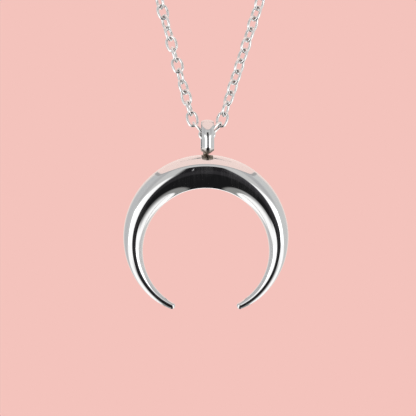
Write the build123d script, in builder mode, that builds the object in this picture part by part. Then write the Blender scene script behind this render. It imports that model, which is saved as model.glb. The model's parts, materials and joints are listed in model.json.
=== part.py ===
from build123d import *
from math import atan2, copysign, cos, degrees, radians, sin
import os

os.makedirs("parts", exist_ok=True)

# A necklace: a crescent moon that hangs by a stirrup-shaped bail on a cable chain.
# Millimetres. The origin is the nape of the neck, X runs to the wearer's left, which is the
# viewer's right, Y runs from the chest to the back and Z is up.

# Where the pendant hangs, measured from the nape
pendant_forward = 92.0
pendant_drop = 153.15
chain_lean = 14.0  # degrees that the chain's front leans back from upright

# Chain link: an oval of round wire
link_wire = 0.42
link_width = 2.06
link_pitch = 1.92
link_gap = 0.12
link_bulge = 0.08  # how far the long sides swell out past the round ends

# The three links at the bail: the middle one lies level, and its neighbours rise from it
left_saddle_slope = 49.0
right_saddle_slope = 47.0
saddle_roll = 80.0
saddle_drop = 0.2  # from the pendant's pivot down to the middle link
saddle_shift = 0.18  # and how far to the right of the pivot it is

# The two strands above them: degrees from upright, and the length that stays straight
left_strand_slope = 14.96
right_strand_slope = 17.15
straight_run = 23.0

# How far each front link is turned about its strand, in degrees from facing the front,
# from the lowest link up, and how far the links behind them are turned to either side
left_front_rolls = [0, 69, -34, 39, -69, 0, 74, -17, 54, -58, 11, -57]
right_front_rolls = [0, 66, -40, 42, -38, 45, -42, 40, -45, 38, -40, 45]
hidden_roll = 45
nape_rolls = [20, 90]

# The chain's way from the straight run round the neck, on one side, up to the clasp
neck_route = [(23.5, -74.5, -84.0), (41.0, -58.5, -46.0), (48.5, -36.0, -20.0), (35.5, -12.0, -5.5)]
neck_axis_forward = 46.0

# Clasp: one flat ring with an eye
clasp_length = 8.4
clasp_width = 4.0
clasp_wall = 1.0
clasp_thickness = 0.8
clasp_edge = 0.3
eye_radius = 1.3
eye_hole_radius = 0.55
eye_overlap = 0.4
clasp_crease = 0.6
clasp_gap = 0.2

# Bail: a half-round band bent into a stirrup whose sides lean in towards its top, on a post
# that sits in the crescent's crown
bail_width = 2.2
bail_thickness = 0.6
bail_edge = 0.15
bail_room = 0.72  # from the chain's half width out to the upright legs of the hole
bail_height = 5.7
bail_top = 2.25  # from the pendant's pivot up
bail_corner = 0.5
bail_bend_drop = 0.95  # from the pendant's pivot down to the bend above the legs
bail_bend_radius = 2.5
bail_slant = 28.5  # degrees that the sides lean in above the bend
bail_shift = 0.25  # the hole stands this far to the right of the post
bail_turn = 3.0
neck_height = 0.15
post_radius = 0.46
post_depth = 2.0
post_clearance = 0.03
bore_spare_depth = 0.1

# Crescent: a round bar bent along an arc
crescent_radius = 12.1
crown_thickness = 5.6

# Sections of one arm: degrees from the crown, the mid-line's distance from the centre as a
# share of crescent_radius, and the bar's diameter as a share of crown_thickness
arm_sections = [
    (22.5, 1.000, 0.969),
    (45.0, 0.999, 0.879),
    (67.5, 0.998, 0.743),
    (90.0, 0.998, 0.580),
    (110.0, 0.995, 0.430),
    (128.0, 0.988, 0.318),
    (142.0, 0.979, 0.244),
    (151.0, 0.970, 0.196),
]

link_length = link_pitch + link_wire + link_gap
link_half_width = (link_width - link_wire) / 2
link_end_radius = link_half_width - link_bulge
link_end_reach = link_length / 2 - link_end_radius
link_side_radius = (link_end_reach**2 + link_half_width**2 - link_end_radius**2) / (2 * link_bulge)
link_end_span = degrees(atan2(link_side_radius - link_half_width, link_end_reach))
link_play = link_end_radius - link_wire - link_gap

# The pendant turns just above the chain's middle link
pivot = Vector(0, -pendant_forward, -pendant_drop)
saddle = pivot + Vector(saddle_shift, 0, -saddle_drop)
crown = pivot - Vector(0, 0, bail_height - bail_top + neck_height)
crescent_centre = crown - Vector(0, 0, crown_thickness / 2 + crescent_radius)

# The chain's front lies in a plane that leans back
front_up = Vector(0, sin(radians(chain_lean)), cos(radians(chain_lean)))
front_facing = Vector(0, -cos(radians(chain_lean)), sin(radians(chain_lean)))


def front_point(spot):
    """The point of the chain's front plane at a flat spot counted from the middle link."""
    return saddle + Vector(spot.X, 0, 0) + front_up * spot.Y


def slope_direction(slope, side):
    """A unit step up the front plane, for a slope from level; side is -1 left and 1 right."""
    return Vector(side * cos(radians(slope)), sin(radians(slope)))


def link_plane(centre, along, facing, roll):
    """The plane of a link whose length runs along a direction."""
    normal = (facing - along * facing.dot(along)).normalized()
    normal = normal.rotate(Axis((0, 0, 0), along), roll)
    return Plane(origin=centre, x_dir=along, z_dir=normal)


def saddle_joint(slope, strand_slope, side):
    """The flat spots of the link beside the middle one and of the foot of its strand."""
    rise = slope_direction(slope, side)
    strand = slope_direction(90 - strand_slope, side)
    low_end = Vector(side * link_end_reach, 0) + rise * link_play
    high_end = low_end + rise * link_length
    end_centre = high_end + (rise + strand).normalized() * link_play
    strand_start = end_centre + strand * (link_end_reach - link_pitch / 2)
    return low_end + rise * (link_length / 2), strand_start


def saddle_link_plane(middle, direction, roll):
    """The plane of one of the three links at the bail."""
    along = (Vector(direction.X, 0, 0) + front_up * direction.Y).normalized()
    return link_plane(front_point(middle), along, front_facing, roll)


def strand_path(start, slope, side, clasp_end):
    """One strand's line from beside the bail to the clasp."""
    foot = front_point(start)
    bend = front_point(start + slope_direction(90 - slope, side) * straight_run)
    round_neck = [(side * x, y, z) for x, y, z in neck_route]
    with BuildLine() as path:
        Line(foot, bend)
        Spline(bend, *round_neck, clasp_end, tangents=[bend - foot, (-side, 0, 0)])
    return path.wires()[0]


def strand_rolls(front_rolls, count):
    """How far each link of a strand is turned, from the bail to the clasp."""
    rolls = list(front_rolls)
    while len(rolls) < count - len(nape_rolls):
        rolls.append(-copysign(hidden_roll, rolls[-1]))
    before_last, last = nape_rolls
    return rolls + [-copysign(before_last, rolls[-1]), last]


def strand_planes(path, front_rolls):
    """The planes of one strand's links."""
    count = round(path.length / link_pitch)
    joints = [path.position_at(number / count) for number in range(count + 1)]
    planes = []
    for number, roll in enumerate(strand_rolls(front_rolls, count)):
        low, high = joints[number], joints[number + 1]
        centre = (low + high) * 0.5
        facing = front_facing
        if number >= len(front_rolls):
            facing = Vector(centre.X, centre.Y + neck_axis_forward, 0)
        planes.append(link_plane(centre, (high - low).normalized(), facing, roll))
    return planes


def arm_plane(angle, reach):
    """The plane across the crescent's bar at an angle from the crown, positive to the right."""
    outward = Vector(sin(radians(angle)), 0, cos(radians(angle)))
    onward = Vector(cos(radians(angle)), 0, -sin(radians(angle)))
    return Plane(origin=crescent_centre + outward * reach, x_dir=outward, z_dir=onward)


# Crescent: lofted from tip to tip through round sections, with round ends and a blind bore
left_arm = [(-angle, reach, thickness) for angle, reach, thickness in reversed(arm_sections)]
sections = left_arm + [(0.0, 1.0, 1.0)] + arm_sections

with BuildPart() as crescent:
    for angle, reach, thickness in sections:
        with BuildSketch(arm_plane(angle, reach * crescent_radius)):
            Circle(thickness * crown_thickness / 2)
    loft()
    tip_angle, tip_reach, tip_thickness = arm_sections[-1]
    for side in (-1, 1):
        with Locations(arm_plane(side * tip_angle, tip_reach * crescent_radius).origin):
            Sphere(tip_thickness * crown_thickness / 2)
    with Locations(Plane(origin=crown, z_dir=(0, 0, 1))):
        Hole(post_radius + post_clearance, depth=post_depth + bore_spare_depth)

crescent.part.label = "crescent"
export_step(crescent.part, "parts/crescent.step")

# Bail: half of the band runs from under the hole to the top of its arch, and is mirrored
bail_middle = Plane(
    origin=pivot + Vector(bail_shift, 0, 0),
    x_dir=Vector(0, 1, 0).rotate(Axis.Z, bail_turn),
    z_dir=Vector(1, 0, 0).rotate(Axis.Z, bail_turn),
)
bail_halves = Plane(origin=bail_middle.origin, x_dir=bail_middle.z_dir, z_dir=bail_middle.x_dir)
hole_bottom = bail_top - bail_height + bail_thickness
hole_top = bail_top - bail_thickness
hole_reach = link_width / 2 + bail_room

# The leaning sides touch both the bends above the legs and the arch over the hole
slant = radians(bail_slant)
bend_centre = hole_reach - bail_bend_radius
side_reach = bend_centre * cos(slant) + bail_bend_radius
arch_centre = (hole_top + bail_bend_drop - side_reach) / (1 - sin(slant)) - bail_bend_drop
arch_radius = hole_top - arch_centre
side_start = (
    bend_centre + bail_bend_radius * cos(slant),
    bail_bend_radius * sin(slant) - bail_bend_drop,
)
side_end = (arch_radius * cos(slant), arch_centre + arch_radius * sin(slant))

with BuildPart() as bail:
    with BuildLine(bail_middle) as hole_outline:
        Line((0, hole_bottom), (hole_reach - bail_corner, hole_bottom))
        CenterArc((hole_reach - bail_corner, hole_bottom + bail_corner), bail_corner, -90, 90)
        Line((hole_reach, hole_bottom + bail_corner), (hole_reach, -bail_bend_drop))
        CenterArc((bend_centre, -bail_bend_drop), bail_bend_radius, 0, bail_slant)
        Line(side_start, side_end)
        CenterArc((0, arch_centre), arch_radius, bail_slant, 90 - bail_slant)
    outline = hole_outline.wires()[0]
    with BuildSketch(
        Plane(origin=outline @ 0, x_dir=bail_middle.z_dir, z_dir=outline % 0)
    ) as band_section:
        with BuildLine():
            Line((-bail_width / 2, 0), (bail_width / 2, 0))
            ThreePointArc((-bail_width / 2, 0), (0, bail_thickness), (bail_width / 2, 0))
        make_face()
        fillet(band_section.vertices(), bail_edge)
    sweep(path=outline)
    mirror(about=bail_halves)
    post_top = crown + Vector(0, 0, neck_height + bail_thickness / 2)
    with Locations(Plane(origin=post_top, z_dir=(0, 0, -1))):
        Cylinder(
            post_radius,
            neck_height + bail_thickness / 2 + post_depth,
            align=(Align.CENTER, Align.CENTER, Align.MIN),
        )

bail.part.label = "bail"
export_step(bail.part, "parts/bail.step")

# Clasp: it lies flat on the nape, centred on it, with its eye on the left
eye_centre_x = -clasp_length / 2 - eye_radius + eye_overlap
clasp_shift = eye_radius - eye_overlap / 2
eye_bar_x = eye_centre_x - eye_hole_radius + link_wire / 2 + clasp_gap + clasp_shift
ring_bar_x = clasp_length / 2 - clasp_wall - link_wire / 2 - clasp_gap + clasp_shift

with BuildPart() as clasp:
    with BuildSketch(Plane.XZ.offset(-clasp_thickness / 2)) as clasp_outline:
        with Locations((clasp_shift, 0)):
            SlotOverall(clasp_length, clasp_width)
        with Locations((clasp_shift + eye_centre_x, 0)):
            Circle(eye_radius)
        fillet(clasp_outline.vertices().sort_by(Axis.X)[:2], clasp_crease)
        with Locations((clasp_shift + eye_centre_x, 0)):
            Circle(eye_hole_radius, mode=Mode.SUBTRACT)
        with Locations((clasp_shift, 0)):
            SlotOverall(clasp_length - 2 * clasp_wall, clasp_width - 2 * clasp_wall, mode=Mode.SUBTRACT)
    extrude(amount=clasp_thickness)
    fillet(clasp.faces().filter_by(Axis.Y).edges(), clasp_edge)

clasp.part.label = "clasp"
export_step(clasp.part, "parts/clasp.step")

# Link: four tangent arcs of round wire, lying in the XY plane with its length along X
with BuildPart() as link:
    with BuildLine() as link_outline:
        CenterArc((link_end_reach, 0), link_end_radius, -link_end_span, 2 * link_end_span)
        CenterArc(
            (0, link_half_width - link_side_radius),
            link_side_radius,
            link_end_span,
            180 - 2 * link_end_span,
        )
        mirror(about=Plane.XZ)
        mirror(about=Plane.YZ)
    outline = link_outline.wires()[0]
    with BuildSketch(Plane(origin=outline @ 0, z_dir=outline % 0)):
        Circle(link_wire / 2)
    sweep(path=outline)

# Chain: the middle link in the bail, one link rising from each of its ends, and two strands
chain_planes = [saddle_link_plane(Vector(0, 0), Vector(1, 0), 0)]
strands = [
    (-1, left_saddle_slope, left_strand_slope, eye_bar_x, left_front_rolls),
    (1, right_saddle_slope, right_strand_slope, ring_bar_x, right_front_rolls),
]
for side, saddle_slope, strand_slope, clasp_bar_x, front_rolls in strands:
    middle, strand_start = saddle_joint(saddle_slope, strand_slope, side)
    rise = slope_direction(saddle_slope, side)
    chain_planes.append(saddle_link_plane(middle, rise, saddle_roll))
    clasp_end = (clasp_bar_x + side * (link_length - link_pitch) / 2, 0, 0)
    path = strand_path(strand_start, strand_slope, side, clasp_end)
    chain_planes += strand_planes(path, front_rolls)
    print("strand", side, "length", round(path.length, 1))

with BuildPart() as chain:
    with Locations(*chain_planes):
        add(link.part)

chain.part.label = "chain"
export_step(chain.part, "parts/chain.step")
print("links", len(chain_planes), "solids", len(chain.part.solids()))
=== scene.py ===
import json
from math import asin, atan2, cos, hypot, pi, radians, sin

import bmesh
import bpy
import numpy as np
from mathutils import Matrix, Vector


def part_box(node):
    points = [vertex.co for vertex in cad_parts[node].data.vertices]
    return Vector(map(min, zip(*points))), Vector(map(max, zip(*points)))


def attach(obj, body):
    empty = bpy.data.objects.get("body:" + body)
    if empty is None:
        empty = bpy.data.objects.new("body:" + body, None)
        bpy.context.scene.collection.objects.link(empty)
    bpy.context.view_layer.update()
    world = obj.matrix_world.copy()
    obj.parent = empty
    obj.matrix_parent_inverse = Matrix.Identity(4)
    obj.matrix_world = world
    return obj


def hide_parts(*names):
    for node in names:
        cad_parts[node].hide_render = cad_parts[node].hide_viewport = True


# A crescent moon pendant in polished steel on a cable chain. Metres, with the origin at the nape of
# the neck: X runs to the viewer's right, Y away from the viewer and Z up.
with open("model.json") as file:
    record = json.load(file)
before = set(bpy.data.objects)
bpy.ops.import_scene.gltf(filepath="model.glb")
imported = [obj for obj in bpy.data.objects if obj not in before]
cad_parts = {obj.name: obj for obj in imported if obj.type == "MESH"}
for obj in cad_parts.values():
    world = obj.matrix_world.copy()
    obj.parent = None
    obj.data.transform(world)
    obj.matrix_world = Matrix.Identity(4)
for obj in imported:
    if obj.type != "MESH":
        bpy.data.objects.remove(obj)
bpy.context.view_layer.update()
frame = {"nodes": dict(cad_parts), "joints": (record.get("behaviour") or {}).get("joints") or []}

MM = 0.001
crescent_low, crescent_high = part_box("crescent")
PIVOT = Vector(frame["joints"][0]["pos_m"])

# Crescent: a round bar bent along an arc
CROWN_THICKNESS = crescent_high.y - crescent_low.y
CROWN_DROP = 3.6 * MM
CROWN = Vector((0, PIVOT.y, PIVOT.z - CROWN_DROP))
CRESCENT_RADIUS = 12.1 * MM
CRESCENT_CENTRE = CROWN - Vector((0, 0, CROWN_THICKNESS / 2 + CRESCENT_RADIUS))

# Sections of one arm: degrees from the crown, the mid-line's distance from the centre as a share of
# CRESCENT_RADIUS, and the bar's diameter as a share of CROWN_THICKNESS
ARM_SECTIONS = [
    (0.0, 1.000, 1.000),
    (22.5, 1.000, 0.969),
    (45.0, 0.999, 0.879),
    (67.5, 0.998, 0.743),
    (90.0, 0.998, 0.580),
    (110.0, 0.995, 0.430),
    (128.0, 0.988, 0.318),
    (142.0, 0.979, 0.244),
    (151.0, 0.970, 0.196),
]
ARM_RINGS = 260
TIP_RINGS = 10
TIP_ROUNDNESS = 0.88  # 1 is a half ball and 0 is flat
RING_POINTS = 72

# Bail: a ridged band bent into a stirrup, whose crest flattens from its legs up to its arch
bail_low, bail_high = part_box("bail")
BAIL_TOP = bail_high.z - PIVOT.z
BAIL_WIDTH = 2.08 * MM
BAIL_THICKNESS = 0.64 * MM
LEG_CREST = 0.92 * MM
ARCH_CREST = 1.9 * MM
LEG_EDGE = 0.06 * MM
ARCH_EDGE = 0.23 * MM
BAIL_HEIGHT = 5.7 * MM
BAIL_CORNER = 0.5 * MM
HOLE_REACH = 1.75 * MM  # from the hole's middle out to its upright legs
BEND_DROP = 0.95 * MM  # from the pivot down to where the legs start to bend
BEND_RADIUS = 2.8 * MM
BEND_END = radians(44)
BAIL_SHIFT = 0.25 * MM  # the band stands this far to the right of the post
BAIL_TURN = radians(3.0)
FOOT_STEPS = 8
CORNER_STEPS = 16
LEG_STEPS = 6
BEND_STEPS = 28
ARCH_STEPS = 24
CREST_STEPS = 12
EDGE_STEPS = 10

# The bail's post in the crown, the solder round it, and painted shade over the band's underside near
# the crown
POST_RADIUS = 0.46 * MM
POST_CLEARANCE = 0.03 * MM
BORE_SPARE = 0.1 * MM
BORE_MOUTH = 1.0 * MM  # how far its cutter stands out above the crown
POST_BOTTOM = bail_low.z
POST_END_RADIUS = 0.9 * POST_RADIUS
POST_CHAMFER = 0.05 * MM
POST_SIDES = 48
CLOSED_END_RADIUS = 0.001 * POST_RADIUS  # the post's flat ends close down to this
SOLDER_FOOT = 0.44 * MM
SOLDER_HEIGHT = 0.34 * MM
SOLDER_SINK = 0.35  # how much of its foot lies below the crown's top
SOLDER_SHIFT = 0.20 * MM
SOLDER_STEPS = 12
SOLDER_REACH = 1.15 * MM
# How high above the crown the painted shade on the band's underside reaches
UNDERSIDE_SHADE_HEIGHT = 1.25 * MM
REACH_FADE = 0.6  # the shares of the solder's reach and of the painted shade's height from which they fade
HEIGHT_FADE = 0.85
SHARP_ANGLE = radians(38)

# Chain link: an oval of round wire
LINK_WIRE = 0.46 * MM
LINK_WIDTH = 2.08 * MM
LINK_LENGTH = 2.90 * MM
LINK_END_RADIUS = 0.74 * MM
LINK_STEPS = 40
WIRE_SIDES = 10
SEAM_SPREAD = 0.16 * MM
# Painted shade inside each link's ends, where the links meet: how far it reaches and how strong it is
CROTCH_SHADE_REACH = 0.75 * MM
CROTCH_SHADE_STRENGTH = 1.6
SAME_POINT = 0.001 * MM  # points nearer than this are one

# The picture's frame: how wide it is at the pendant, and the point in its middle
FRAME_PIXELS = 416
PIXELS_PER_MM = 6
FRAME_WIDTH = FRAME_PIXELS / PIXELS_PER_MM * MM
FRAME_SHIFT = 0.35 * MM
FRAME_DROP = 8.87 * MM  # from the crown's top
FRAME_MIDDLE = Vector((FRAME_SHIFT, PIVOT.y, CROWN.z - FRAME_DROP))
CAMERA_DISTANCE = 1.0

# Floor
FLOOR_HEIGHT = -0.27
FLOOR_CORNERS = [(-1.6, -2.4), (1.6, -2.4), (1.6, 1.2), (-1.6, 1.2)]
FLOOR_COLOURS = (0.82, 0.56, 0.52), (0.79, 0.535, 0.495)
FLOOR_ROUGHNESS = 0.9

# Soft lamps: degrees to each side of the lens, metres and watts
LAMP_BEARING = 43
LAMP_DISTANCE = 0.7
LAMP_WIDTH = 0.36
LAMP_HEIGHT = 0.30
LAMP_POWER = 0.5

# Colours are shares of linear light, apart from the backdrop's display colour of 0 to 255
BACKDROP = (244, 195, 188)
STEEL_REFLECTANCE = 0.62
# The solder's colour, which also paints shade over the bail's underside
SOLDER_AND_SHADE_COLOUR = (0.30, 0.25, 0.205)
SOLDER_ROUGHNESS = 0.42
MARK_ROUGHNESS = 0.3
SCRATCH_ROUGHNESS = 0.6

# Steels: a light and a dark colour, the least and the most roughness, and the polishing lines' depth
STEELS = {
    "moon_steel": ((0.62, 0.62, 0.62), (0.60, 0.60, 0.603), 0.02, 0.07, 0.00002 * MM),
    "bail_steel": ((0.62, 0.62, 0.62), (0.592, 0.592, 0.596), 0.08, 0.16, 0.00003 * MM),
    "wire_steel": ((0.77, 0.765, 0.755), (0.74, 0.735, 0.73), 0.22, 0.34, 0.0001 * MM),
    "clasp_steel": ((0.64, 0.64, 0.64), (0.60, 0.60, 0.603), 0.08, 0.2, 0.0001 * MM),
}

# Marks on each link, a real solder seam and painted shade inside its ends: how much of the steel they
# cover, and their colour
LINK_SEAM_AND_SHADE = {"solder": (0.5, (0.50, 0.48, 0.45)), "crotch_shade": (0.85, (0.20, 0.20, 0.20))}


# Small helpers


def tone(red, green, blue):
    """A display colour, 0 to 255, as linear light."""
    shares = [value / 255 for value in (red, green, blue)]
    return [s / 12.92 if s <= 0.04045 else ((s + 0.055) / 1.055) ** 2.4 for s in shares]


def make_piece(name, vertices, faces):
    """A smooth mesh object."""
    mesh = bpy.data.meshes.new(name)
    mesh.from_pydata(np.asarray(vertices).tolist(), [], faces)
    shape = bmesh.new()
    shape.from_mesh(mesh)
    bmesh.ops.recalc_face_normals(shape, faces=shape.faces)
    shape.to_mesh(mesh)
    shape.free()
    mesh.shade_smooth()
    piece = bpy.data.objects.new(name, mesh)
    bpy.context.scene.collection.objects.link(piece)
    return piece


def grid_faces(rows, columns, closed):
    """Quads over rows of points that each go round; closed joins the last row to the first."""
    faces = []
    for row in range(rows if closed else rows - 1):
        here, there = row * columns, (row + 1) % rows * columns
        for column in range(columns):
            onward = (column + 1) % columns
            faces.append((here + column, here + onward, there + onward, there + column))
    return faces


def make_turned(name, rings):
    """A closed solid round the crown's upright axis, from rings of a radius, a height and a shift
    to the left, from the bottom up."""
    points = []
    for radius, height, shift in rings:
        for k in range(POST_SIDES):
            turn = 2 * pi * k / POST_SIDES
            points.append((CROWN.x - shift + radius * cos(turn), CROWN.y + radius * sin(turn), height))
    last = len(points) - POST_SIDES
    ends = [tuple(range(POST_SIDES))[::-1], tuple(range(last, len(points)))]
    return make_piece(name, points, grid_faces(len(rings), POST_SIDES, closed=False) + ends)


def smooth_curve(knots, values):
    """A natural cubic spline through the values, as a function."""
    knots, values = np.asarray(knots, float), np.asarray(values, float)
    gaps = np.diff(knots)
    matrix, right = np.eye(len(knots)), np.zeros(len(knots))
    for i in range(1, len(knots) - 1):
        matrix[i, i - 1 : i + 2] = gaps[i - 1], 2 * (gaps[i - 1] + gaps[i]), gaps[i]
        right[i] = 6 * (
            (values[i + 1] - values[i]) / gaps[i] - (values[i] - values[i - 1]) / gaps[i - 1]
        )
    bends = np.linalg.solve(matrix, right)

    def at(place):
        i = min(max(int(np.searchsorted(knots, place)) - 1, 0), len(gaps) - 1)
        gap, low, high = gaps[i], knots[i + 1] - place, place - knots[i]
        ends = (values[i] * low + values[i + 1] * high) / gap
        return ends + (
            (low**3 / gap - gap * low) * bends[i] + (high**3 / gap - gap * high) * bends[i + 1]
        ) / 6

    return at


def cut(piece, tool, operation):
    """Joins a tool to a piece, or takes it away from the piece, and keeps hard edges sharp."""
    change = piece.modifiers.new("change", "BOOLEAN")
    change.object = tool
    change.operation = operation
    change.solver = "EXACT"
    depsgraph = bpy.context.evaluated_depsgraph_get()
    changed = bpy.data.meshes.new_from_object(piece.evaluated_get(depsgraph))
    piece.modifiers.clear()
    piece.data = changed
    bpy.data.objects.remove(tool)
    piece.data.set_sharp_from_angle(angle=SHARP_ANGLE)


# Shader helpers: each returns an output socket


def math(tree, operation, *values):
    """A Math node on numbers and sockets."""
    node = tree.nodes.new("ShaderNodeMath")
    node.operation = operation
    for socket, value in zip(node.inputs, values):
        if isinstance(value, bpy.types.NodeSocket):
            tree.links.new(value, socket)
        else:
            socket.default_value = value
    return node.outputs[0]


def ramp(tree, value, low, high, bottom, top):
    """A smooth step from bottom to top as value goes from low to high."""
    node = tree.nodes.new("ShaderNodeMapRange")
    node.interpolation_type = "SMOOTHSTEP"
    tree.links.new(value, node.inputs["Value"])
    for name, number in zip(("From Min", "From Max", "To Min", "To Max"), (low, high, bottom, top)):
        node.inputs[name].default_value = number
    return node.outputs["Result"]


def noise(tree, place, scale, detail, stretch=(1, 1, 1)):
    """Noise over a place, with its cells stretched along the axes."""
    spread = tree.nodes.new("ShaderNodeMapping")
    spread.inputs["Scale"].default_value = [1 / s for s in stretch]
    tree.links.new(place, spread.inputs["Vector"])
    node = tree.nodes.new("ShaderNodeTexNoise")
    node.inputs["Scale"].default_value = scale
    node.inputs["Detail"].default_value = detail
    tree.links.new(spread.outputs["Vector"], node.inputs["Vector"])
    return node.outputs["Fac"]


def mix(tree, factor, first, second):
    """A colour mix; first and second are colours or sockets."""
    node = tree.nodes.new("ShaderNodeMix")
    node.data_type = "RGBA"
    tree.links.new(factor, node.inputs["Factor"])
    for socket, value in zip((node.inputs[6], node.inputs[7]), (first, second)):
        if isinstance(value, bpy.types.NodeSocket):
            tree.links.new(value, socket)
        else:
            socket.default_value = [*value, 1]
    return node.outputs[2]


# Studio: what the polished metal mirrors. A tent with a pink ceiling and gray walls, two white
# panels beside the opening for the lens, white reflectors low along its sides and a black table.


def show_to_lens_or_metal(tree, seen_by_lens, seen_by_metal):
    """Ends a world's nodes: the lens sees one colour, and what mirrors the studio sees another."""
    lit = tree.nodes.new("ShaderNodeBackground")
    tree.links.new(seen_by_metal, lit.inputs["Color"])
    lit.inputs["Strength"].default_value = 1 / STEEL_REFLECTANCE
    plain = tree.nodes.new("ShaderNodeBackground")
    plain.inputs["Color"].default_value = [*tone(*seen_by_lens), 1]
    seen = tree.nodes.new("ShaderNodeLightPath").outputs["Is Camera Ray"]
    either = tree.nodes.new("ShaderNodeMixShader")
    tree.links.new(seen, either.inputs[0])
    tree.links.new(lit.outputs[0], either.inputs[1])
    tree.links.new(plain.outputs[0], either.inputs[2])
    output = tree.nodes.new("ShaderNodeOutputWorld")
    tree.links.new(either.outputs[0], output.inputs["Surface"])


def studio():
    """Each card of the studio is a display colour and the directions that it covers, in degrees."""
    world = bpy.data.worlds.new("studio")
    bpy.context.scene.world = world
    world.use_nodes = True
    tree = world.node_tree
    tree.nodes.clear()
    place = tree.nodes.new("ShaderNodeTexCoord").outputs["Generated"]
    split = tree.nodes.new("ShaderNodeSeparateXYZ")
    tree.links.new(place, split.inputs[0])
    x, y, z = split.outputs
    forward = math(tree, "MULTIPLY", y, -1)
    aside = math(tree, "ABSOLUTE", x)

    def degrees_of(socket):
        return math(tree, "MULTIPLY", socket, 180 / pi)

    def add_up(*terms):
        """The sum of sockets, each times a share."""
        total = math(tree, "MULTIPLY", *terms[0])
        for socket, share in terms[1:]:
            total = math(tree, "ADD", total, math(tree, "MULTIPLY", socket, share))
        return total

    # How far a direction points from the lens sideways, to the right, up and in all, and round
    # the line of sight
    sideways = degrees_of(math(tree, "ARCTAN2", aside, forward))
    bearing = degrees_of(math(tree, "ARCTAN2", x, forward))
    height = degrees_of(math(tree, "ARCSINE", z))
    away = degrees_of(math(tree, "ARCCOSINE", forward))
    roll = degrees_of(math(tree, "ARCTAN2", z, aside))

    # How high it meets the tent's wall, round in front of the pendant and straight behind it
    in_front = math(tree, "MINIMUM", y, 0)
    squares = (math(tree, "MULTIPLY", x, x), 1), (math(tree, "MULTIPLY", in_front, in_front), 1)
    flat_reach = math(tree, "SQRT", add_up(*squares))
    wall_height = degrees_of(math(tree, "ARCTAN2", z, flat_reach))

    def above(value, limit, soft):
        return ramp(tree, value, limit - soft / 2, limit + soft / 2, 0, 1)

    def below(value, limit, soft):
        return ramp(tree, value, limit - soft / 2, limit + soft / 2, 1, 0)

    def within(value, centre, reach, soft):
        return below(math(tree, "ABSOLUTE", math(tree, "SUBTRACT", value, centre)), reach, soft)

    # The ceiling's pink lies behind all the cards
    colour = tone(237, 213, 206)

    def card(shade, *masks):
        """Lays a card over the earlier ones where all of its masks are 1."""
        nonlocal colour
        cover = masks[0]
        for mask in masks[1:]:
            cover = math(tree, "MULTIPLY", cover, mask)
        colour = mix(tree, cover, colour, tone(*shade))

    # A paler back, and gray walls that are darker on the left and at their front corners, with a
    # seam under the ceiling
    wall_top, seam_bottom = 53, 50.5
    walls = below(wall_height, wall_top, 2.5)
    left_wall = below(bearing, -70, 20), above(bearing, -128, 20)
    front_corners = above(height, 18, 8), below(sideways, 68, 24)
    over_lens = above(height, 0, 8), below(height, 48, 8), below(sideways, 40, 12)
    seam = above(wall_height, seam_bottom, 1), below(wall_height, wall_top, 1)
    card((214, 204, 198), above(sideways, 145, 20), below(height, 25, 30))
    card((196, 197, 196), walls, below(sideways, 140, 30))
    card((185, 186, 187), walls, *left_wall)
    card((174, 174, 175), walls, *front_corners)
    card((194, 194, 193), *over_lens)
    card((160, 158, 158), *seam, below(sideways, 150, 20))

    # White reflectors low along the sides, which darken towards the lens
    low = below(add_up((roll, 1), (sideways, 0.42)), 20, 12), below(roll, 20, 10), below(away, 172, 24)
    lit_part = above(add_up((away, 1), (height, 0.9), (bearing, -0.067)), 24, 32)
    card((28, 28, 29), *low)
    card((255, 255, 254), *low, lit_part)

    # White panels on both sides of the lens, which grow narrower upwards
    panel = math(tree, "ABSOLUTE", math(tree, "SUBTRACT", bearing, 3))
    panel_outer = below(add_up((panel, 1), (height, 0.6)), 58, 14)
    panel_inner = above(add_up((panel, 1), (height, -0.8)), 4, 12)
    card((255, 255, 255), panel_outer, panel_inner, above(height, -20, 9), below(height, 16.5, 6))

    # The black table with its gray rim, measured in shares of a unit direction
    table = add_up((aside, 1), (y, 0.17))
    front_edge = math(tree, "ADD", z, math(tree, "MAXIMUM", add_up((x, -0.97)), add_up((x, 0.25))))
    back_edge = below(add_up((z, 1), (y, 0.75)), 0.2, 0.06)
    rim = below(table, 0.49, 0.04), below(front_edge, -0.06, 0.1), above(away, 66, 30)
    card((138, 138, 136), *rim, back_edge)
    card((24, 24, 25), below(table, 0.315, 0.08), below(front_edge, 0.04, 0.08), back_edge)

    # The dark slot for the lens, with lighter parts low and on the right, and a glint
    slot = within(add_up((bearing, 1), (height, 0.16)), 5, 14.25, 6)
    glint = within(add_up((bearing, 1), (height, 0.15)), -2.4, 0.2, 0.2)
    card((29, 28, 30), slot, below(height, 36.5, 3), above(height, -16, 8))
    card((44, 43, 45), slot, below(height, 8, 10), above(height, -14, 8))
    card((58, 57, 61), slot, below(height, 24, 10), above(height, -6, 8), above(bearing, 9, 6))
    card((170, 170, 172), glint, within(height, 19, 7, 4))
    show_to_lens_or_metal(tree, BACKDROP, colour)


# Materials


def steel(name):
    """Polished steel: a slightly uneven colour, a roughness that varies, and fine polishing lines."""
    light, dark, smooth, rough, grain = STEELS[name]
    material = bpy.data.materials.new(name)
    material.use_nodes = True
    tree = material.node_tree
    shader = tree.nodes["Principled BSDF"]
    shader.inputs["Metallic"].default_value = 1.0
    place = tree.nodes.new("ShaderNodeTexCoord").outputs["Object"]
    patches = noise(tree, place, scale=260, detail=2)
    tree.links.new(mix(tree, patches, dark, light), shader.inputs["Base Color"])
    lines = noise(tree, place, scale=5200, detail=2, stretch=(1, 9, 9))
    smudges = noise(tree, place, scale=700, detail=3)
    worn = math(tree, "MULTIPLY", lines, smudges)
    polish = ramp(tree, worn, low=0.12, high=0.42, bottom=smooth, top=rough)
    tree.links.new(polish, shader.inputs["Roughness"])
    bump = tree.nodes.new("ShaderNodeBump")
    bump.inputs["Strength"].default_value = 1.0
    bump.inputs["Distance"].default_value = grain
    tree.links.new(lines, bump.inputs["Height"])
    tree.links.new(bump.outputs["Normal"], shader.inputs["Normal"])
    return material


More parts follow.
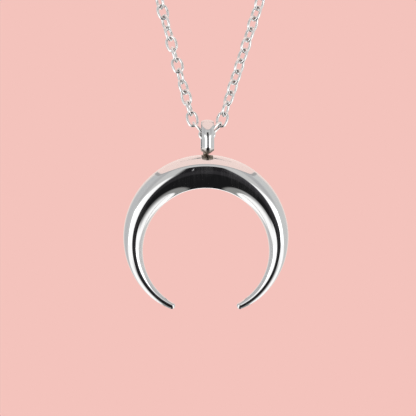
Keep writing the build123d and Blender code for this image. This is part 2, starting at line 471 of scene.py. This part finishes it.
def hairlines(material):
    """Faint upright scratches, which show where the metal mirrors something dark."""
    tree = material.node_tree
    shader = tree.nodes["Principled BSDF"]
    place = tree.nodes.new("ShaderNodeTexCoord").outputs["Object"]
    scratches = noise(tree, place, scale=4200, detail=3, stretch=(1, 12, 12))
    patches = noise(tree, place, scale=330, detail=2)
    scratched = math(tree, "MULTIPLY", scratches, patches)
    haze = ramp(tree, scratched, low=0.18, high=0.38, bottom=0, top=0.8)
    tree.links.new(haze, shader.inputs["Coat Weight"])
    shader.inputs["Coat Roughness"].default_value = SCRATCH_ROUGHNESS


def lay_mark_or_shade(material, cover, colour, rough):
    """Lays another colour and roughness over a steel where cover is 1, for a real mark or for painted
    shade.
    """
    tree = material.node_tree
    shader = tree.nodes["Principled BSDF"]
    clean = shader.inputs["Base Color"].links[0].from_socket
    tree.links.new(mix(tree, cover, clean, colour), shader.inputs["Base Color"])
    polish = shader.inputs["Roughness"].links[0].from_socket
    spread = math(tree, "MULTIPLY", math(tree, "SUBTRACT", rough, polish), cover)
    tree.links.new(math(tree, "ADD", polish, spread), shader.inputs["Roughness"])


def solder_and_painted_shade(material):
    """Dark solder round the foot of the post, and painted shade over the band low down near the crown,
    darkest where it faces down.
    """
    tree = material.node_tree
    coordinates = tree.nodes.new("ShaderNodeTexCoord")
    place = coordinates.outputs["Object"]
    offset = tree.nodes.new("ShaderNodeVectorMath")
    offset.operation = "DISTANCE"
    tree.links.new(place, offset.inputs[0])
    offset.inputs[1].default_value = CROWN
    speckle = noise(tree, place, scale=2600, detail=3)
    ragged = math(tree, "MULTIPLY", math(tree, "SUBTRACT", speckle, 0.5), SOLDER_REACH)
    reach = math(tree, "ADD", offset.outputs["Value"], ragged)
    near_foot = ramp(tree, reach, SOLDER_REACH * REACH_FADE, SOLDER_REACH, 1, 0)
    facing = tree.nodes.new("ShaderNodeSeparateXYZ")
    tree.links.new(coordinates.outputs["Normal"], facing.inputs[0])
    height = tree.nodes.new("ShaderNodeSeparateXYZ")
    tree.links.new(place, height.inputs[0])
    # Painted shade: the band darkens towards the crown, most where its faces point down
    faces_down = ramp(tree, facing.outputs["Z"], low=-0.8, high=-0.3, bottom=1, top=0.35)
    fade_from, fade_to = CROWN.z + UNDERSIDE_SHADE_HEIGHT * HEIGHT_FADE, CROWN.z + UNDERSIDE_SHADE_HEIGHT
    low = ramp(tree, height.outputs["Z"], fade_from, fade_to, 1, 0)
    underside_shade = math(tree, "MULTIPLY", faces_down, low)
    lay_mark_or_shade(material, math(tree, "MAXIMUM", near_foot, underside_shade), SOLDER_AND_SHADE_COLOUR, SOLDER_ROUGHNESS)


def link_seam_and_shade(material):
    """The soldered seam in each link's side, and painted shade inside its ends, where the links meet.
    """
    tree = material.node_tree
    for name, (share, colour) in LINK_SEAM_AND_SHADE.items():
        mark = tree.nodes.new("ShaderNodeAttribute")
        mark.attribute_name = name
        lay_mark_or_shade(material, ramp(tree, mark.outputs["Fac"], 0, 1, 0, share), colour, MARK_ROUGHNESS)


# Crescent: rings of round section from tip to tip, with round ends and the bail's bore


def crescent_ring(angle, reach, radius, onward=0.0):
    """Points round the bar at an angle from the crown, moved onward along the arc's direction."""
    outward = Vector((sin(angle), 0, cos(angle)))
    along = Vector((cos(angle), 0, -sin(angle)))
    middle = CRESCENT_CENTRE + outward * reach + along * onward
    turns = [2 * pi * k / RING_POINTS for k in range(RING_POINTS)]
    return [middle + (outward * cos(turn) + Vector((0, 1, 0)) * sin(turn)) * radius for turn in turns]


def make_crescent():
    angles = [radians(row[0]) for row in ARM_SECTIONS]
    both = [-angle for angle in reversed(angles[1:])] + angles
    mirrored = ARM_SECTIONS[:0:-1] + ARM_SECTIONS
    reach = smooth_curve(both, [row[1] * CRESCENT_RADIUS for row in mirrored])
    radius = smooth_curve(both, [row[2] * CROWN_THICKNESS / 2 for row in mirrored])
    tip = angles[-1]
    tip_reach, tip_radius = reach(tip), radius(tip)
    turns = [pi / 2 * k / TIP_RINGS for k in range(TIP_RINGS)]
    shares = [(cos(turn), 1 - TIP_ROUNDNESS * (1 - sin(turn))) for turn in turns]
    ends = [(tip_radius * size, tip_radius * onward) for size, onward in shares]
    rings = [crescent_ring(-tip, tip_reach, size, -onward) for size, onward in reversed(ends)]
    for k in range(ARM_RINGS + 1):
        angle = tip * (2 * k / ARM_RINGS - 1)
        rings.append(crescent_ring(angle, reach(angle), radius(angle)))
    rings += [crescent_ring(tip, tip_reach, size, onward) for size, onward in ends]
    faces = grid_faces(len(rings), RING_POINTS, closed=False)
    points = [point for ring in rings for point in ring]
    for first_ring, side in ((0, -1), (len(rings) - 1, 1)):
        points.append(crescent_ring(side * tip, tip_reach, 0, side * tip_radius)[0])
        start = first_ring * RING_POINTS
        for k in range(RING_POINTS):
            edge = (start + k, start + (k + 1) % RING_POINTS)
            faces.append((*edge[::side], len(points) - 1))
    piece = make_piece("polished_crescent", points, faces)
    bore_radius = POST_RADIUS + POST_CLEARANCE
    bore_ends = (POST_BOTTOM - BORE_SPARE, CROWN.z + BORE_MOUTH)
    cut(piece, make_turned("bore", [(bore_radius, height, 0) for height in bore_ends]), "DIFFERENCE")
    return piece


# Bail: a ridged band bent into a stirrup, on a post soldered to the crown


def arc(centre, radius, first, last, steps):
    """Points along an arc in the stirrup's plane, each with the direction that it faces."""
    turns = np.linspace(first, last, steps + 1)
    return [(centre[0] + radius * cos(turn), centre[1] + radius * sin(turn), turn) for turn in turns]


def band_outline():
    """Points round the hole and the directions that they face, in the stirrup's own plane."""
    hole_top = BAIL_TOP - BAIL_THICKNESS
    hole_bottom = BAIL_TOP - BAIL_HEIGHT + BAIL_THICKNESS
    corner = HOLE_REACH - BAIL_CORNER, hole_bottom + BAIL_CORNER
    bend = HOLE_REACH - BEND_RADIUS, -BEND_DROP
    side_reach = bend[0] * cos(BEND_END) + BEND_RADIUS
    arch_height = (hole_top + BEND_DROP - side_reach) / (1 - sin(BEND_END)) - BEND_DROP
    half = [(corner[0] * k / FOOT_STEPS, hole_bottom, -pi / 2) for k in range(FOOT_STEPS)]
    half += arc(corner, BAIL_CORNER, -pi / 2, 0, CORNER_STEPS)
    leg = bend[1] - corner[1]
    half += [(HOLE_REACH, corner[1] + leg * k / LEG_STEPS, 0.0) for k in range(1, LEG_STEPS)]
    half += arc(bend, BEND_RADIUS, 0, BEND_END, BEND_STEPS)
    half += arc((0, arch_height), hole_top - arch_height, BEND_END, pi / 2, ARCH_STEPS)
    return half + [(-flat, upright, pi - turn) for flat, upright, turn in reversed(half[1:-1])]


def band_section(arching):
    """The band's section, across its width and out from the hole: a rounded ridge with round
    edges, which flattens as arching goes from 0 at the legs to 1 at the arch."""
    crest = LEG_CREST + (ARCH_CREST - LEG_CREST) * arching
    edge = LEG_EDGE + (ARCH_EDGE - LEG_EDGE) * arching
    crest_centre = BAIL_THICKNESS - crest
    edge_centre = BAIL_WIDTH / 2 - edge
    drop = edge - crest_centre
    flank = asin((crest - edge) / hypot(edge_centre, drop)) - atan2(drop, edge_centre)
    right = []
    for k in range(CREST_STEPS + 1):
        turn = flank * k / CREST_STEPS
        right.append((crest * sin(turn), crest_centre + crest * cos(turn)))
    for k in range(EDGE_STEPS + 1):
        turn = flank + (pi - flank) * k / EDGE_STEPS
        right.append((edge_centre + edge * sin(turn), edge + edge * cos(turn)))
    left = [(-across, out) for across, out in reversed(right[1:])]
    return right + [(0.0, 0.0)] + left


def make_band():
    across = Vector((cos(BAIL_TURN), sin(BAIL_TURN), 0))
    level = Vector((-sin(BAIL_TURN), cos(BAIL_TURN), 0))
    middle = PIVOT + Vector((BAIL_SHIFT, 0, 0))
    points = []
    outline = band_outline()
    for flat, upright, turn in outline:
        base = middle + level * flat + Vector((0, 0, upright))
        outward = level * cos(turn) + Vector((0, 0, sin(turn)))
        arching = min(max(sin(turn) / sin(BEND_END), 0), 1)
        points += [base + across * width + outward * depth for width, depth in band_section(arching)]
    columns = len(points) // len(outline)
    return make_piece("polished_bail", points, grid_faces(len(outline), columns, closed=True))


def make_post():
    """The post and the solder round it: rings from the bottom of the bore up into the band."""
    rings = [(CLOSED_END_RADIUS, POST_BOTTOM, 0), (POST_END_RADIUS, POST_BOTTOM, 0)]
    rings += [(POST_RADIUS, POST_BOTTOM + POST_CHAMFER, 0), (POST_RADIUS, CROWN.z - SOLDER_FOOT, 0)]
    for k in range(SOLDER_STEPS + 1):
        turn = pi / 2 * k / SOLDER_STEPS
        radius = POST_RADIUS + SOLDER_FOOT * (1 - sin(turn))
        height = CROWN.z - SOLDER_FOOT * SOLDER_SINK + SOLDER_HEIGHT * (1 - cos(turn))
        rings.append((radius, height, SOLDER_SHIFT * (1 - sin(turn))))
    top = PIVOT.z + BAIL_TOP - BAIL_HEIGHT + BAIL_THICKNESS / 2
    rings += [(POST_RADIUS, top, 0), (CLOSED_END_RADIUS, top, 0)]
    return make_turned("post", rings)


# Chain: one fine link in the place of each plain link, which is a loose part of one mesh


def link_outline():
    """The oval mid-line of a link's wire: points at evenly spaced outward directions."""
    half_length, half_width = (LINK_LENGTH - LINK_WIRE) / 2, (LINK_WIDTH - LINK_WIRE) / 2
    end_reach = half_length - LINK_END_RADIUS
    flank = half_width - LINK_END_RADIUS
    side_radius = (end_reach**2 + half_width**2 - LINK_END_RADIUS**2) / (2 * flank)
    end_span = atan2(side_radius - half_width, end_reach)
    side_centre = half_width - side_radius
    spots = []
    for k in range(LINK_STEPS):
        turn = 2 * pi * k / LINK_STEPS
        folded = atan2(abs(sin(turn)), abs(cos(turn)))
        if folded < end_span:
            centre, radius = (end_reach, 0), LINK_END_RADIUS
        else:
            centre, radius = (0, side_centre), side_radius
        spot = (centre[0] + radius * cos(folded), centre[1] + radius * sin(folded))
        signs = (1 if cos(turn) >= 0 else -1, 1 if sin(turn) >= 0 else -1)
        spots.append(([spot[0] * signs[0], spot[1] * signs[1]], turn))
    return spots


def link_points():
    """A link's points, and how much of a soldered seam and of painted shade there is at each."""
    points, seam, crotch_shade = [], [], []
    for (along, wide), turn in link_outline():
        near_end = max(0.0, 1 - (LINK_LENGTH / 2 - abs(along)) / CROTCH_SHADE_REACH)
        for k in range(WIRE_SIDES):
            round_wire = 2 * pi * (k + 0.5) / WIRE_SIDES
            out = cos(round_wire) * LINK_WIRE / 2
            up = sin(round_wire) * LINK_WIRE / 2
            points.append((along + out * cos(turn), wide + out * sin(turn), up))
            seam.append(max(0.0, 1 - abs(along) / SEAM_SPREAD) if wide > 0 else 0.0)
            # Painted shade on the inner side of the wire near each end, where the next link sits
            crotch_shade.append(min(1.0, CROTCH_SHADE_STRENGTH * near_end * max(0.0, -cos(round_wire))))
    return np.array(points), {"solder": seam, "crotch_shade": crotch_shade}


def loose_parts(mesh):
    """The points of each loose part of a mesh."""
    shape = bmesh.new()
    shape.from_mesh(mesh)
    bmesh.ops.remove_doubles(shape, verts=shape.verts, dist=SAME_POINT)
    for vertex in shape.verts:
        vertex.tag = False
    parts = []
    for start in shape.verts:
        if start.tag:
            continue
        start.tag = True
        part = [start]
        for vertex in part:
            for edge in vertex.link_edges:
                onward = edge.other_vert(vertex)
                if not onward.tag:
                    onward.tag = True
                    part.append(onward)
        parts.append(np.array([vertex.co for vertex in part]))
    shape.free()
    return parts


def make_chain():
    links = loose_parts(frame["nodes"]["chain"].data)
    template, seam_and_shade = link_points()
    quads = np.array(grid_faces(LINK_STEPS, WIRE_SIDES, closed=True))
    points, faces = [], []
    for link in links:
        # The link's own axes: along it, across it and through its thickness
        centre = link.mean(0)
        axes = np.linalg.svd(link - centre, full_matrices=False)[2]
        if np.linalg.det(axes) < 0:
            axes[2] *= -1
        spread = (link - centre) @ axes.T
        centre += (spread.min(0) + spread.max(0)) / 2 @ axes
        faces.append(quads + len(points) * len(template))
        points.append(centre + template @ axes)
    piece = make_piece("chain_links", np.concatenate(points), np.concatenate(faces).tolist())
    for name, shares in seam_and_shade.items():
        mark = piece.data.attributes.new(name, "FLOAT", "POINT")
        mark.data.foreach_set("value", np.tile(shares, len(links)).astype(np.float32))
    return piece


# Camera, soft lamps and floor


def make_camera():
    data = bpy.data.cameras.new("camera")
    data.lens = data.sensor_width * CAMERA_DISTANCE / FRAME_WIDTH
    data.clip_start = CAMERA_DISTANCE / 10
    data.clip_end = CAMERA_DISTANCE * 10
    camera = bpy.data.objects.new("camera", data)
    camera.location = FRAME_MIDDLE - Vector((0, CAMERA_DISTANCE, 0))
    camera.rotation_euler = (radians(90), 0, 0)
    bpy.context.scene.collection.objects.link(camera)
    bpy.context.scene.camera = camera


def make_lamps():
    """Two soft lamps within the white panels, which brighten the metal that isn't a clean mirror."""
    for side in (-1, 1):
        data = bpy.data.lights.new("panel_lamp", "AREA")
        data.shape = "RECTANGLE"
        data.size, data.size_y = LAMP_WIDTH, LAMP_HEIGHT
        data.energy = LAMP_POWER
        lamp = bpy.data.objects.new("panel_lamp", data)
        turn = radians(LAMP_BEARING) * side
        lamp.location = PIVOT + Vector((sin(turn), -cos(turn), 0)) * LAMP_DISTANCE
        lamp.rotation_euler = (radians(90), 0, turn)
        lamp.visible_camera = False
        lamp.visible_diffuse = False
        bpy.context.scene.collection.objects.link(lamp)


def make_floor():
    """A plain pale floor that the polished metal doesn't mirror."""
    corners = [(x, y, FLOOR_HEIGHT) for x, y in FLOOR_CORNERS]
    floor = make_piece("floor", corners, [(0, 1, 2, 3)])
    material = bpy.data.materials.new("pale_floor")
    material.use_nodes = True
    tree = material.node_tree
    shader = tree.nodes["Principled BSDF"]
    shader.inputs["Roughness"].default_value = FLOOR_ROUGHNESS
    shader.inputs["Specular IOR Level"].default_value = 0.0
    place = tree.nodes.new("ShaderNodeTexCoord").outputs["Object"]
    clouds = noise(tree, place, scale=90, detail=3)
    tree.links.new(mix(tree, clouds, *FLOOR_COLOURS), shader.inputs["Base Color"])
    floor.data.materials.append(material)
    floor.visible_glossy = False


make_camera()
make_floor()
make_lamps()
studio()
bpy.context.scene.view_settings.view_transform = "Standard"

moon_steel = steel("moon_steel")
hairlines(moon_steel)
bail_steel = steel("bail_steel")
solder_and_painted_shade(bail_steel)
wire_steel = steel("wire_steel")
link_seam_and_shade(wire_steel)
clasp_steel = steel("clasp_steel")

crescent = make_crescent()
crescent.data.materials.append(moon_steel)
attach(crescent, "pendant")
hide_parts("crescent")

bail = make_band()
cut(bail, make_post(), "UNION")
bail.data.materials.append(bail_steel)
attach(bail, "pendant")
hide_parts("bail")

chain = make_chain()
chain.data.materials.append(wire_steel)
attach(chain, "necklace")
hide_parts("chain")

clasp = frame["nodes"]["clasp"]
clasp.data.materials.clear()
clasp.data.materials.append(clasp_steel)
